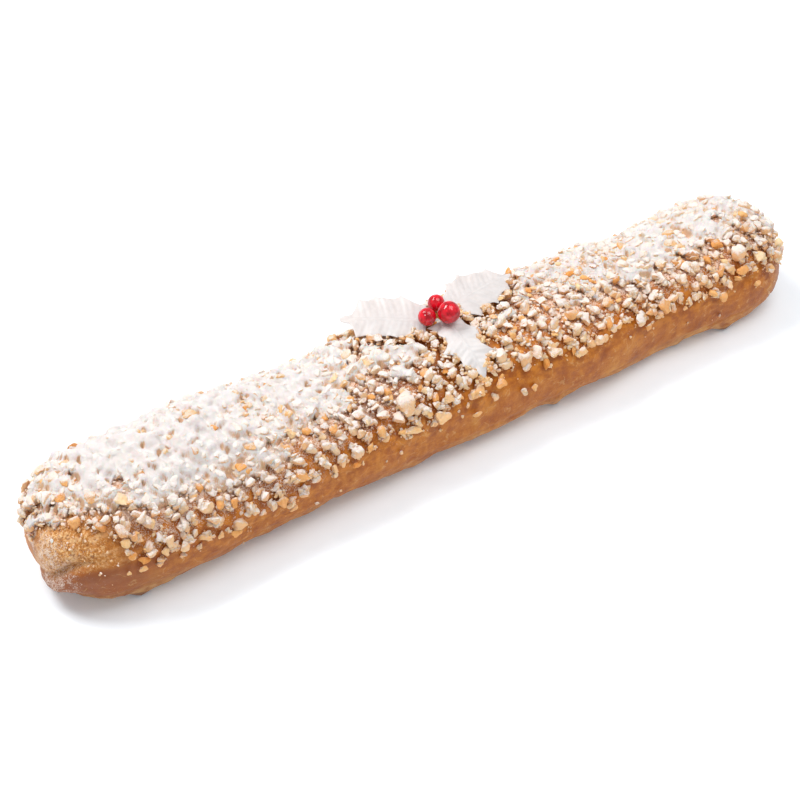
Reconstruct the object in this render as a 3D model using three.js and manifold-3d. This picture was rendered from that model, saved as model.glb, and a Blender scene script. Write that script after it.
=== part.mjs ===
// A baked almond pastry log with chopped almonds fused over its top and sides, three white holly
// leaves lying across the middle, and three red berries on them.
// Millimetres, +Z up. X runs along the log, -Y is its front, and the origin is the middle of the flat
// base. The solids are faceted.
import * as THREE from "three";
import { mergeVertices } from "three/addons/utils/BufferGeometryUtils.js";
import Module from "manifold-3d";

// Driving dimensions of the dough.
const LOG_LENGTH = 320.5;
const LOG_HALF_WIDTH = 26.5; // at mid-length
const LOG_TAPER = 2.1; // added to the half-width at the -X end and taken off at the +X end
const LOG_HEIGHT = 37.8; // at mid-length
const WIDEST_AT = 0.44; // height of the widest line, as a share of the height
const BASE_DROP = 1.16; // how far the lower curve would reach below the base if it weren't cut flat
const END_ROUNDING = [32, 25]; // length over which the -X and the +X end closes
const END_POWER = [0.84, 0.74]; // of the -X and the +X end: the lower, the blunter

// Swellings and waists along the log: [place along X, share of the half-width, spread along X].
const SWELLINGS = [
  [-108, 0.025, 22],
  [-48, -0.02, 18],
  [8, 0.015, 16],
  [98, -0.045, 17],
  [136, 0.035, 13],
];

// Fold of dough tucked under the -X end: a groove above a lip.
const FOLD_HEIGHT = 11;
const FOLD_DEPTH = 1.6;
const FOLD_REACH = 30; // how far it runs along the log from the end
const LIP_OUT = 2.4;

// Facets of the dough.
const CAP_RINGS = 6;
const BODY_RINGS = 46;
const RING_POINTS = 32;
const TOP_CROWDING = 0.3; // moves the points of a ring towards the top

// Chopped almonds.
const NUT_COUNT = 186;
const NUT_LARGEST = 4.4; // half of the longest side
const NUT_SMALLEST = 2.5;
const NUT_LIFT = 0.08; // height of a nut's middle above the dough, as a share of its half size
const CRUMB_RELIEF = 0.9; // height of the fine almonds between the large ones

// Holly.
const LEAF_THICKNESS = 0.5;
const LEAF_LENGTH_STEPS = 26;
const LEAF_WIDTH_STEPS = 4;
const ARC_DEPTH = 0.33; // depth of the arc between two spines, as a share of the half-width
const SPINE_LEAN = 1.6; // how far the side spines point towards the tip
const LEAF_WAVE = 0.5;
const CLEARANCE = 0.35; // gap between touching pieces
// Each leaf's middle line, the half-width of its foot under the berries, the spines of its two sides
// (left and right, looking from base to tip) as [share of the length, reach], how far it arches along,
// and how far each side curls up at its spines.
const LEAVES = [
  {
    name: "leaf_left",
    base: [2.4, 8.2, 42.1],
    tip: [-22.6, 23.8, 41.8],
    foot: 5.2,
    sides: [
      [[0.26, 7.6], [0.52, 8.4], [0.75, 8.8]],
      [[0.22, 11.4], [0.52, 11.2], [0.77, 8.6]],
    ],
    arch: 1.2,
    curl: [0, 1.8],
  },
  {
    name: "leaf_back",
    base: [14.2, 7.2, 42.1],
    tip: [45.2, 12.3, 41.8],
    foot: 4.6,
    sides: [
      [[0.24, 11.8], [0.49, 11.8], [0.76, 7.6]],
      [[0.22, 9], [0.5, 7.2], [0.77, 5.6]],
    ],
    arch: 1.2,
    curl: [1.8, 0],
  },
  {
    name: "leaf_front",
    base: [10.8, -0.2, 41.8],
    tip: [11.8, -22.1, 31.6],
    foot: 4.4,
    sides: [
      [[0.24, 9], [0.62, 8.8]],
      [[0.1, 6.2], [0.36, 10.6], [0.67, 5.9]],
    ],
    arch: 2.8,
    curl: [0, 0],
  },
];

// Berries: centre and radius.
const BERRIES = [
  { name: "berry_left", centre: [3.3, 4.6, 46.4], radius: 3.3 },
  { name: "berry_right", centre: [10.5, 1.3, 47.2], radius: 4.15 },
  { name: "berry_back", centre: [9.5, 8.8, 46.4], radius: 3.0 },
];
const BERRY_DETAIL = 2;

const COLOURS = {
  pastry: { color: 0xc68642, roughness: 0.45, metalness: 0 },
  leaf: { color: 0xf3efec, roughness: 0.5, metalness: 0 },
  berry: { color: 0xc8102a, roughness: 0.2, metalness: 0 },
};

const wasm = await Module();
wasm.setup();

const fraction = (value) => value - Math.floor(value);
const bell = (distance, spread) => Math.exp(-((distance / spread) ** 2));

// Hand-rolled unevenness of the dough, as a share of its half-width.
function unevenness(x, angle) {
  return (
    0.016 * Math.sin(x / 15 + 1.3) * Math.cos(angle + 0.5) +
    0.012 * Math.sin(x / 8.7 - 2 * angle + 0.7) +
    0.01 * Math.sin(x / 21 + 3 * angle + 2.1)
  );
}

// Half-width of the dough at x.
function halfWidthAt(x) {
  let share = 1;
  for (const [place, amount, spread] of SWELLINGS) share += amount * bell(x - place, spread);
  return (LOG_HALF_WIDTH - (LOG_TAPER * x) / (LOG_LENGTH / 2)) * share;
}

// Point on the dough at a station. Angle 0 is the back, a quarter turn is the top.
// The section is a rounded curve cut flat at the base, and it shrinks towards a point at each end.
function doughPoint({ x, closing }, angle) {
  const half = halfWidthAt(x) * (1 + unevenness(x, angle));
  const height = (half / LOG_HALF_WIDTH) * LOG_HEIGHT;
  const c = Math.cos(angle);
  const s = Math.sin(angle);
  const across = Math.sign(c) * Math.abs(c) ** 0.9;
  const rise = s > 0 ? (1 - WIDEST_AT) * s ** 0.95 : -WIDEST_AT * BASE_DROP * (-s) ** 0.75;
  const z = Math.max(0, height * (WIDEST_AT + rise * closing));
  const nearEnd = bell(x + LOG_LENGTH / 2, FOLD_REACH);
  const lip = LIP_OUT * nearEnd * bell(z - FOLD_HEIGHT * 0.45, 5);
  const groove = FOLD_DEPTH * nearEnd * bell(z - FOLD_HEIGHT, 1.8);
  const out = (lip - groove) * (closing > 0 ? 1 : 0);
  return new THREE.Vector3(x - out * (1 - closing), across * (half * closing + out * closing), z);
}

// How far the section has closed at x: 1 between the ends, falling to 0 at each tip.
function stationAt(x) {
  const end = x < 0 ? 0 : 1;
  const straight = LOG_LENGTH / 2 - END_ROUNDING[end];
  const past = Math.min(1, Math.max(0, (Math.abs(x) - straight) / END_ROUNDING[end]));
  const turn = Math.asin(past ** (1 / END_POWER[end]));
  return { x, closing: Math.max(0, Math.cos(turn)) ** END_POWER[end] };
}

// Place of a ring along the log. The outer rings at each end lie closer together.
function ringPlace(ring) {
  const last = BODY_RINGS + 2 * CAP_RINGS;
  const end = ring < last / 2 ? 0 : 1;
  const fromEnd = Math.min(ring, last - ring);
  const [left, right] = [-LOG_LENGTH / 2 + END_ROUNDING[0], LOG_LENGTH / 2 - END_ROUNDING[1]];
  if (fromEnd >= CAP_RINGS) return left + ((right - left) * (ring - CAP_RINGS)) / BODY_RINGS;
  const reach = END_ROUNDING[end] * Math.sin((Math.PI / 2) * (1 - fromEnd / CAP_RINGS)) ** END_POWER[end];
  return end ? right + reach : left - reach;
}

// Lower edge of the almonds on the front and back, as an angle below the top.
const coverEdge = (x) => 1.42 - (0.16 * x) / (LOG_LENGTH / 2) + 0.07 * Math.sin(x / 11);

// 1 where almonds cover the dough, 0 on bare crust.
function covered(x, angle) {
  const fromTop = Math.abs(angle - Math.PI / 2);
  const along = Math.abs(x) < LOG_LENGTH / 2 - 5 ? 1 : 0;
  return fromTop < coverEdge(x) ? along : 0;
}

function doughGeometry() {
  const last = BODY_RINGS + 2 * CAP_RINGS;
  const positions = [];
  const index = [];
  positions.push(ringPlace(0), 0, WIDEST_AT * LOG_HEIGHT);
  for (let ring = 1; ring < last; ring++) {
    const here = stationAt(ringPlace(ring));
    for (let j = 0; j < RING_POINTS; j++) {
      const turn = (2 * Math.PI * j) / RING_POINTS;
      const angle = turn + TOP_CROWDING * Math.cos(turn);
      const p = doughPoint(here, angle);
      const outwards = new THREE.Vector3(0, p.y, p.z - WIDEST_AT * LOG_HEIGHT).normalize();
      const draw = fraction(ring * 0.7548776662 + j * 0.5698402909 + 0.13 * ((ring * j) % 7));
      const wrapped = angle > 1.5 * Math.PI ? angle - 2 * Math.PI : angle;
      p.addScaledVector(outwards, CRUMB_RELIEF * draw * covered(here.x, wrapped) * here.closing);
      positions.push(p.x, p.y, Math.max(0, p.z));
    }
  }
  positions.push(ringPlace(last), 0, WIDEST_AT * LOG_HEIGHT);
  const end = positions.length / 3 - 1;
  const at = (ring, j) => 1 + (ring - 1) * RING_POINTS + (j % RING_POINTS);
  for (let j = 0; j < RING_POINTS; j++) {
    index.push(0, at(1, j + 1), at(1, j));
    for (let ring = 1; ring < last - 1; ring++) {
      index.push(at(ring, j), at(ring, j + 1), at(ring + 1, j));
      index.push(at(ring, j + 1), at(ring + 1, j + 1), at(ring + 1, j));
    }
    index.push(end, at(last - 1, j), at(last - 1, j + 1));
  }
  return indexed(positions, index);
}

function indexed(positions, index) {
  const geometry = new THREE.BufferGeometry();
  geometry.setAttribute("position", new THREE.Float32BufferAttribute(positions, 3));
  geometry.setIndex(index);
  return geometry;
}

// Closed geometry to a solid that can be joined and cut.
function toSolid(geometry) {
  const bare = geometry.clone();
  for (const name of Object.keys(bare.attributes)) if (name !== "position") bare.deleteAttribute(name);
  const merged = mergeVertices(bare, 1e-4);
  const mesh = new wasm.Mesh({
    numProp: 3,
    vertProperties: new Float32Array(merged.attributes.position.array),
    triVerts: new Uint32Array(merged.index.array),
  });
  return new wasm.Manifold(mesh);
}

function toGeometry(solid) {
  const mesh = solid.getMesh();
  return indexed(Array.from(mesh.vertProperties), Array.from(mesh.triVerts));
}

// One chopped almond: an icosahedron or a block with its corners moved, longer than it is wide or thick.
function nutGeometry(number, half) {
  const round = number % 3 > 0;
  const shape = round ? new THREE.IcosahedronGeometry(1, 0) : new THREE.BoxGeometry(1.5, 1.5, 1.5);
  for (const name of ["normal", "uv"]) shape.deleteAttribute(name);
  const merged = mergeVertices(shape, 1e-4);
  const position = merged.attributes.position;
  for (let i = 0; i < position.count; i++) {
    const swell = 0.78 + 0.44 * fraction(number * 0.618034 + i * 0.381966 + (i * i) % 5 / 7);
    position.setXYZ(i, position.getX(i) * swell, position.getY(i) * swell, position.getZ(i) * swell);
  }
  const width = 0.66 + 0.26 * fraction(number * 0.414214);
  const depth = 0.5 + 0.24 * fraction(number * 0.732051);
  merged.scale(half, half * width, half * depth);
  merged.applyMatrix4(
    new THREE.Matrix4().makeRotationFromEuler(
      new THREE.Euler(
        (fraction(number * 0.236068) - 0.5) * 1.1,
        (fraction(number * 0.645751) - 0.5) * 1.1,
        fraction(number * 0.162278) * 2 * Math.PI,
      ),
    ),
  );
  return merged;
}

// Almonds spread evenly along a winding line and then nudged, each turned to lie on the dough.
function nutSolids() {
  const solids = [];
  for (let number = 1; number <= NUT_COUNT; number++) {
    const nudge = (share) => fraction(number * share) - 0.5;
    const x = ((number - 0.5 + 2.2 * nudge(0.324718)) / NUT_COUNT - 0.5) * (LOG_LENGTH - 20);
    const across = 2 * fraction(number * 0.618034) - 1 + 0.1 * nudge(0.754878);
    const angle = Math.PI / 2 + Math.max(-1, Math.min(1, across)) * coverEdge(x);
    const size = NUT_LARGEST + (NUT_SMALLEST - NUT_LARGEST) * Math.sqrt(fraction(number * 0.414214));
    const outwards = normalAt(x, angle);
    const nut = nutGeometry(number, size);
    nut.applyQuaternion(new THREE.Quaternion().setFromUnitVectors(new THREE.Vector3(0, 0, 1), outwards));
    const point = doughPoint(stationAt(x), angle).addScaledVector(outwards, size * NUT_LIFT);
    nut.translate(point.x, point.y, point.z);
    solids.push(toSolid(nut));
  }
  return solids;
}

// Outward direction of the dough's surface.
function normalAt(x, angle) {
  const step = 0.02;
  const along = doughPoint(stationAt(x + 0.5), angle).sub(doughPoint(stationAt(x - 0.5), angle));
  const round = doughPoint(stationAt(x), angle + step).sub(doughPoint(stationAt(x), angle - step));
  return round.cross(along).normalize();
}

// Half-width of one side of a leaf at u: hollow arcs from the foot over the spines to the tip.
function leafReach(u, foot, spines) {
  const corners = [[0, foot], ...spines, [1, 0.25]];
  const next = Math.max(1, corners.findIndex(([place]) => place >= u));
  const [[from, low], [to, high]] = [corners[next - 1], corners[next]];
  const t = (u - from) / (to - from);
  const straight = low + (high - low) * t;
  return straight * (1 - ARC_DEPTH * 4 * t * (1 - t));
}

// Point of a leaf's middle surface: u runs from base to tip, v from one side to the other. extra widens it.
function leafPoint(leaf, u, v, lift, extra) {
  const base = new THREE.Vector3(...leaf.base);
  const along = new THREE.Vector3(...leaf.tip).sub(base);
  const length = along.length();
  along.normalize();
  const side = new THREE.Vector3(0, 0, 1).cross(along).normalize();
  const up = along.clone().cross(side);
  const which = v > 0 ? 0 : 1;
  const out = v * (leafReach(u, leaf.foot, leaf.sides[which]) + extra);
  const lean = SPINE_LEAN * v * v * Math.sin(Math.PI * u);
  const raised = leaf.arch * 4 * u * (1 - u) + leaf.curl[which] * (out / 10) ** 2;
  const wave = LEAF_WAVE * Math.sin(8 * Math.PI * u) * v;
  return base
    .addScaledVector(along, length * u + lean + extra * (2 * u - 1))
    .addScaledVector(side, out)
    .addScaledVector(up, raised + wave + lift);
}

// A leaf as a thin closed solid whose two faces are split alike.
function leafGeometry(leaf, thickness, extra = 0) {
  const positions = [];
  const index = [];
  const across = LEAF_WIDTH_STEPS + 1;
  const sheet = (LEAF_LENGTH_STEPS + 1) * across;
  for (const lift of [-thickness / 2, thickness / 2])
    for (let i = 0; i <= LEAF_LENGTH_STEPS; i++)
      for (let j = 0; j < across; j++) {
        const p = leafPoint(leaf, i / LEAF_LENGTH_STEPS, (2 * j) / LEAF_WIDTH_STEPS - 1, lift, extra);
        positions.push(p.x, p.y, p.z);
      }
  const at = (i, j, top) => i * across + j + top * sheet;
  for (let i = 0; i < LEAF_LENGTH_STEPS; i++)
    for (let j = 0; j < LEAF_WIDTH_STEPS; j++) {
      index.push(at(i, j, 1), at(i + 1, j, 1), at(i + 1, j + 1, 1), at(i, j, 1), at(i + 1, j + 1, 1), at(i, j + 1, 1));
      index.push(at(i, j, 0), at(i + 1, j + 1, 0), at(i + 1, j, 0), at(i, j, 0), at(i, j + 1, 0), at(i + 1, j + 1, 0));
    }
  // The rim, walked once round.
  const rim = [];
  for (let i = 0; i < LEAF_LENGTH_STEPS; i++) rim.push([i, 0]);
  for (let j = 0; j < LEAF_WIDTH_STEPS; j++) rim.push([LEAF_LENGTH_STEPS, j]);
  for (let i = LEAF_LENGTH_STEPS; i > 0; i--) rim.push([i, LEAF_WIDTH_STEPS]);
  for (let j = LEAF_WIDTH_STEPS; j > 0; j--) rim.push([0, j]);
  rim.forEach(([i, j], k) => {
    const [i2, j2] = rim[(k + 1) % rim.length];
    index.push(at(i, j, 0), at(i2, j2, 0), at(i2, j2, 1), at(i, j, 0), at(i2, j2, 1), at(i, j, 1));
  });
  return indexed(positions, index);
}

function berryGeometry(berry, extra = 0) {
  return new THREE.IcosahedronGeometry(berry.radius + extra, BERRY_DETAIL).translate(...berry.centre);
}

// The dough with its almonds fused on, then cut back from the leaves and berries. Loose scraps go.
function logGeometry() {
  const fused = wasm.Manifold.union([toSolid(doughGeometry()), ...nutSolids()]);
  const above = [
    ...LEAVES.map((leaf) => toSolid(leafGeometry(leaf, LEAF_THICKNESS + 2 * CLEARANCE, CLEARANCE))),
    ...BERRIES.map((berry) => toSolid(berryGeometry(berry, CLEARANCE))),
  ];
  let cut = fused;
  for (const solid of above) cut = cut.subtract(solid);
  const pieces = cut.decompose().sort((a, b) => b.volume() - a.volume());
  return toGeometry(pieces[0]);
}

function piece(name, geometry, look) {
  const mesh = new THREE.Mesh(geometry, new THREE.MeshStandardMaterial(look));
  mesh.name = name;
  return mesh;
}

const group = new THREE.Group();
group.add(piece("pastry_log", logGeometry(), COLOURS.pastry));
for (const leaf of LEAVES) group.add(piece(leaf.name, leafGeometry(leaf, LEAF_THICKNESS), COLOURS.leaf));
for (const berry of BERRIES) group.add(piece(berry.name, berryGeometry(berry), COLOURS.berry));

export default group;
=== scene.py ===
import itertools
import math

import bmesh
import bpy
import numpy as np
from mathutils import Matrix, Vector


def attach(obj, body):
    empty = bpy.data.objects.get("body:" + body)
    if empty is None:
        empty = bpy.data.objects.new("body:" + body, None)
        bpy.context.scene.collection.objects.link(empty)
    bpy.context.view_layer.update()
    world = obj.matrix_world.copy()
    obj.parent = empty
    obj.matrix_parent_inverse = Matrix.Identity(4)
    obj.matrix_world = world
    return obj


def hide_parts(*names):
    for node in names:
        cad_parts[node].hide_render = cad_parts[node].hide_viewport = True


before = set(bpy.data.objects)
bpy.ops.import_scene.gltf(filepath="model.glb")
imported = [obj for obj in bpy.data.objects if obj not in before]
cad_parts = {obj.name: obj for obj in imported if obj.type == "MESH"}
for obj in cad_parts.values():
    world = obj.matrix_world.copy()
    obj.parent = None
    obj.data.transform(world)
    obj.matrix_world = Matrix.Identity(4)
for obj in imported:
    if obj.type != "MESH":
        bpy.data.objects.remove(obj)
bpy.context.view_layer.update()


# ---- The roll of pastry ----
# Flaky dough rolled round almond paste, tucked under at its left end, brushed with egg and baked golden.
# It is paler along the foot where it sat on the tray, and a little filling has leaked and browned there.

# Lengths are in millimetres: x runs along the roll, y to its back and z up from its base. Where there are
# two values, the first is for the left end.
MM = 0.001
ROLL_LENGTH = 320.5
LEFT_TIP, RIGHT_TIP = -159.3, 157.6
ROLL_HALF_WIDTH = 26.5
ROLL_TAPER = 2.1
ROLL_HEIGHT = 37.5
WIDEST_AT = 0.44  # share of the height
BASE_DROP = 1.16  # how far the section would run below the base, if it weren't cut flat
SIDE_POWER, TOP_POWER, FOOT_POWER = 0.9, 0.95, 0.75
END_ROUNDING = (32.0, 25.0)
END_POWER = (0.84, 0.74)
SWELLINGS = ((-108, 0.025, 22), (-48, -0.02, 18), (8, 0.015, 16), (98, -0.045, 17), (136, 0.025, 13))
LEAKS = ((44.5, 2.2, 1.0), (103, 2.4, 0.8), (125.5, 3.0, 1.4), (-132, 3.0, 2.0))  # place, spread, height


def lumps(points, size, seed):
    """Smooth random lumps from -1 to 1: random values on a lattice of the given spacing, blended by
    smoothstep between the eight nearest corners."""
    values = np.random.default_rng(seed).uniform(-1, 1, (32, 32, 32))
    cell = points / size
    low = np.floor(cell).astype(int)
    t = cell - low
    t = t * t * (3 - 2 * t)
    total = np.zeros(points.shape[:-1])
    for corner in itertools.product((0, 1), repeat=3):
        weight = np.where(corner, t, 1 - t).prod(-1)
        i, j, k = np.moveaxis((low + corner) % 32, -1, 0)
        total += weight * values[i, j, k]
    return total


def bell(distance, spread):
    """1 at no distance, falling along a bell curve."""
    return np.exp(-((distance / spread) ** 2))


def roll_closing(x):
    """How far the section has closed: 1 between the ends, falling to 0 at each tip as a blunt quarter
    ellipse."""
    rounding = np.where(x < 0, *END_ROUNDING)
    power = np.where(x < 0, *END_POWER)
    past = np.clip(1 - np.where(x < 0, x - LEFT_TIP, RIGHT_TIP - x) / rounding, 0, 1)
    return np.maximum(0, np.cos(np.arcsin(past ** (1 / power)))) ** power


def roll_half_width(x):
    """A straight taper to the right, times a bell curve for each swelling: place, share and spread."""
    share = 1 + sum(amount * bell(x - place, spread) for place, amount, spread in SWELLINGS)
    return (ROLL_HALF_WIDTH - ROLL_TAPER * x / (ROLL_LENGTH / 2)) * share


def roll_point(x, turn):
    """Point of the smooth roll: powers of the cosine and sine of turn give a rounded section, cut flat at
    the base, that closes towards a point at each end and swells a little in slow waves. turn is 0 at the
    back and a quarter turn at the top."""
    closing = roll_closing(x)
    uneven = (
        0.016 * np.sin(x / 15 + 1.3) * np.cos(turn + 0.5)
        + 0.012 * np.sin(x / 8.7 - 2 * turn + 0.7)
        + 0.01 * np.sin(x / 21 + 3 * turn + 2.1)
    )
    half = roll_half_width(x) * (1 + uneven)
    c, s = np.cos(turn), np.sin(turn)
    across = np.sign(c) * np.abs(c) ** SIDE_POWER
    rise = np.where(
        s > 0,
        (1 - WIDEST_AT) * np.maximum(s, 0) ** TOP_POWER,
        -WIDEST_AT * BASE_DROP * np.maximum(-s, 0) ** FOOT_POWER,
    )
    z = half / ROLL_HALF_WIDTH * ROLL_HEIGHT * (WIDEST_AT + rise * closing)
    return np.stack([x + 0 * turn, across * half * closing, np.maximum(z, 0)], -1)


def unit(vectors):
    """The same directions with length one."""
    return vectors / np.maximum(np.linalg.norm(vectors, axis=-1, keepdims=True), 1e-9)


def roll_normal(x, turn):
    """Outward direction of the smooth roll, from the cross product of its two slopes."""
    step, little = 0.25, 0.02
    ahead, behind = np.minimum(x + step, RIGHT_TIP - little), np.maximum(x - step, LEFT_TIP + little)
    along = roll_point(ahead, turn) - roll_point(behind, turn)
    around = roll_point(x, turn + little) - roll_point(x, turn - little)
    return unit(np.cross(around, along))


def make_piece(name, points, faces):
    """A smooth-shaded object at the origin, from points and arrays of faces, a row of corners each."""
    mesh = bpy.data.meshes.new(name)
    mesh.vertices.add(len(points))
    mesh.vertices.foreach_set("co", (points * MM).astype(np.float32).ravel())
    corners = np.concatenate([f.ravel() for f in faces]).astype(np.int32)
    sizes = np.concatenate([np.full(len(f), f.shape[1]) for f in faces])
    mesh.loops.add(len(corners))
    mesh.loops.foreach_set("vertex_index", corners)
    mesh.polygons.add(len(sizes))
    starts = np.cumsum(sizes) - sizes
    mesh.polygons.foreach_set("loop_start", starts.astype(np.int32))
    mesh.polygons.foreach_set("use_smooth", np.ones(len(sizes), bool))
    mesh.update(calc_edges=True)
    mesh.validate()
    piece = bpy.data.objects.new(name, mesh)
    bpy.context.collection.objects.link(piece)
    return piece


def give(piece, name, values):
    """A number for each vertex, which the piece's material reads by name."""
    data = piece.data.attributes.new(name, "FLOAT", "POINT")
    data.data.foreach_set("value", values.astype(np.float32).ravel())


def closed_tube(rings, around):
    """Faces that join rings of points into a tube, and close it to two more points, one before the first
    ring and one after the last. They look outward where rings turn from the back over the top."""
    i, j = np.meshgrid(np.arange(rings - 1), np.arange(around), indexing="ij")
    a, b = i * around + j, i * around + (j + 1) % around
    tube = np.stack([a, b, b + around, a + around], -1).reshape(-1, 4)
    j = np.arange(around)
    last_ring = (rings - 1) * around
    start = np.stack([np.full_like(j, rings * around), (j + 1) % around, j], -1)
    end = np.stack([np.full_like(j, rings * around + 1), last_ring + j, last_ring + (j + 1) % around], -1)
    return [tube, start, end]


class Paint:
    """A socket of a material's node tree. An expression on Paints adds the Math nodes that work it out."""

    def __init__(self, tree, socket):
        self.tree, self.socket = tree, socket

    def node(self, kind, setting=None, out=0, **values):
        """Any other node: its type, its settings, which are set first, and its sockets' values or links."""
        made = self.tree.nodes.new("ShaderNode" + kind)
        for key, value in (setting or {}).items():
            if key == "stops":
                ramp = made.color_ramp.elements
                while len(ramp) < len(value):
                    ramp.new(0.5)
                for element, (place, colour) in zip(ramp, value):
                    element.position, element.color = place, (*colour, 1)
            else:
                setattr(made, key, value)
        for key, value in values.items():
            socket = made.inputs[int(key[1:]) if key[1:].isdigit() else key.replace("_", " ")]
            if isinstance(value, Paint):
                self.tree.links.new(value.socket, socket)
            else:
                socket.default_value = value
        return Paint(self.tree, made.outputs[out])

    def math(self, operation, *others):
        """A Math node on this number and others."""
        values = {f"i{k}": other for k, other in enumerate((self, *others))}
        return self.node("Math", {"operation": operation}, **values)

    def __add__(self, other):
        return self.math("ADD", other)

    def __mul__(self, other):
        return self.math("MULTIPLY", other)

    def __sub__(self, other):
        return self.math("SUBTRACT", other)

    def __rsub__(self, other):
        return self.node("Math", {"operation": "SUBTRACT"}, i0=other, i1=self)

    def __truediv__(self, other):
        return self.math("DIVIDE", other)

    __radd__, __rmul__ = __add__, __mul__

    def step(self, low, high):
        """0 at low, 1 at high, and smooth between."""
        smooth = {"interpolation_type": "SMOOTHSTEP"}
        return self.node("MapRange", smooth, Value=self, From_Min=low, From_Max=high)

    def most(self, other):
        """The larger of two numbers."""
        return self.math("MAXIMUM", other)

    def blend(self, share, colour, over):
        """A colour with a share of another over it. Each is a Paint or three numbers."""
        first, second = (mixed if isinstance(mixed, Paint) else (*mixed, 1) for mixed in (colour, over))
        return self.node("Mix", {"data_type": "RGBA"}, out=2, i0=share, i6=first, i7=second)

    def ramp(self, stops):
        """A colour that runs through stops, each a place and three numbers."""
        return self.node("ValToRGB", {"stops": stops}, Fac=self)

    def noise(self, size, detail=3.0, rough=0.55, offset=0.0, squeeze=(1, 1, 1)):
        """Noise from 0 to 1 with lumps of the given size, drawn out where squeeze is small."""
        scaled = {"operation": "MULTIPLY_ADD"}
        place = self.node("VectorMath", scaled, i0=self.place, i1=squeeze, i2=(offset,) * 3)
        return self.node("TexNoise", Vector=place, Scale=1 / (size * MM), Detail=detail, Roughness=rough)

    @property
    def place(self):
        """Object coordinates, in metres."""
        return self.node("TexCoord", out=3)

    def reads(self, name):
        """A number given to the piece's vertices."""
        return self.node("Attribute", {"attribute_name": name}, out=2)


def finish_for(name, **fixed):
    """A new material: its surface shader, with the sockets that don't vary set directly, and a Paint."""
    material = bpy.data.materials.new(name)
    material.use_nodes = True
    tree = material.node_tree
    shader = tree.nodes["Principled BSDF"]
    for key, value in fixed.items():
        shader.inputs[key.replace("_", " ")].default_value = value
    return material, shader, Paint(tree, None)


def connect(paint, shader, **varying):
    """Links what changes over the surface to the shader's sockets."""
    for key, value in varying.items():
        paint.tree.links.new(value.socket, shader.inputs[key.replace("_", " ")])


# The grid: rings crowd at the ends, and points round a ring crowd on the two sides that stay bare.
CAP_RINGS, BODY_RINGS, RING_POINTS = 34, 390, 200
SIDE_CROWDING = 0.18
cap = np.sin(np.linspace(0, np.pi / 2, CAP_RINGS + 1))[1:-1]
left_cap = LEFT_TIP + END_ROUNDING[0] * (1 - cap[::-1] ** END_POWER[0])
right_cap = RIGHT_TIP - END_ROUNDING[1] * (1 - cap ** END_POWER[1])
middle = np.linspace(LEFT_TIP + END_ROUNDING[0], RIGHT_TIP - END_ROUNDING[1], BODY_RINGS)
ring_x = np.concatenate([left_cap, middle, right_cap])
ring_turn = np.arange(RING_POINTS) / RING_POINTS * 2 * np.pi
ring_turn = ring_turn - SIDE_CROWDING * np.sin(2 * ring_turn)
roll_x, roll_turn = np.meshgrid(ring_x, ring_turn, indexing="ij")
roll = roll_point(roll_x, roll_turn)
roll_out = roll_normal(roll_x, roll_turn)
roll_z = roll[..., 2]
front = roll[..., 1] < 0

# Relief: dents, wrinkles that run along and round, and two sizes of blisters, each with its height, its
# squeeze along, across and up, its spacing and its seed. It fades into the flat base.
RELIEF = (
    (0.7, (1, 1, 1), 17, 1),
    (0.4, (0.5, 1, 1), 5.5, 2),
    (0.2, (1, 0.45, 0.45), 3.2, 9),
    (0.14, (1, 1, 1), 2.0, 3),
    (0.07, (1, 1, 1), 1.1, 4),
)
off_base = np.clip(roll_z / 5, 0, 1)
relief = sum(height * lumps(roll * squeeze, size, seed) for height, squeeze, size, seed in RELIEF)
relief *= off_base

# The foot bulges in soft lobes where the dough spread on the tray, under a shallow crease.
FOOT_AT, FOOT_SPREAD = 3.0, 3.2
CREASE_AT, CREASE_SPREAD, CREASE_DEPTH = 8.5, 1.3, 0.45
place_only = roll * (1, 0, 0)
foot = bell(roll_z - FOOT_AT, FOOT_SPREAD) * (np.sin(roll_turn) < 0.4)
relief += foot * (0.5 + 1.1 * lumps(place_only + (0, 7, 0), 9, 5))
crease = bell(roll_z - CREASE_AT - 1.5 * lumps(place_only, 14, 6), CREASE_SPREAD)
relief -= CREASE_DEPTH * crease * np.clip(lumps(place_only + (0, 3, 0), 23, 7) + 0.55, 0, 1)

# At the left end the dough is folded under: a crease that climbs from the tip to the front, and a
# bulging lip below it. facing is 1 on the front of the roll and falls smoothly to 0 on its back.
FOLD_AT, FOLD_CLIMB, FOLD_RUN = 8, 18, 3.0
FOLD_DEPTH, FOLD_REACH = 3.6, 10.5
from_tip = roll_x - LEFT_TIP
facing = np.clip(0.5 - roll[..., 1] / 14, 0, 1)
facing = facing * facing * (3 - 2 * facing)
climb = facing * FOLD_CLIMB * (1 - np.exp(-from_tip / FOLD_RUN))
above_fold = roll_z - (FOLD_AT + climb - (1 - facing) * 0.1 * from_tip)
lip = FOLD_DEPTH * bell(above_fold + 8, 5) * (1 + 0.25 * lumps(roll, 6, 12))
lip += 1.3 * bell(above_fold - 7, 7) * bell(from_tip, 7)
relief += bell(from_tip, FOLD_REACH) * (lip - FOLD_DEPTH * bell(above_fold, 1.4))

# Leaked filling on the front foot, and the rough flakes on the front of the left end. All of the relief
# fades towards the tips.
LEAK_AT, LEAK_SPREAD = 2.2, 1.9
leak = sum(height * bell(roll_x - place, spread) for place, spread, height in LEAKS)
leak = leak * bell(roll_z - LEAK_AT, LEAK_SPREAD) * front
relief += leak
relief += 0.3 * lumps(roll, 1.5, 13) * bell(roll_x + 150, 16) * facing * off_base
relief *= np.minimum(1, roll_closing(roll_x) * 1.8)
roll_skin = roll + roll_out * relief[..., None]
roll_skin[..., 2] = np.maximum(roll_skin[..., 2], 0)

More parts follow.
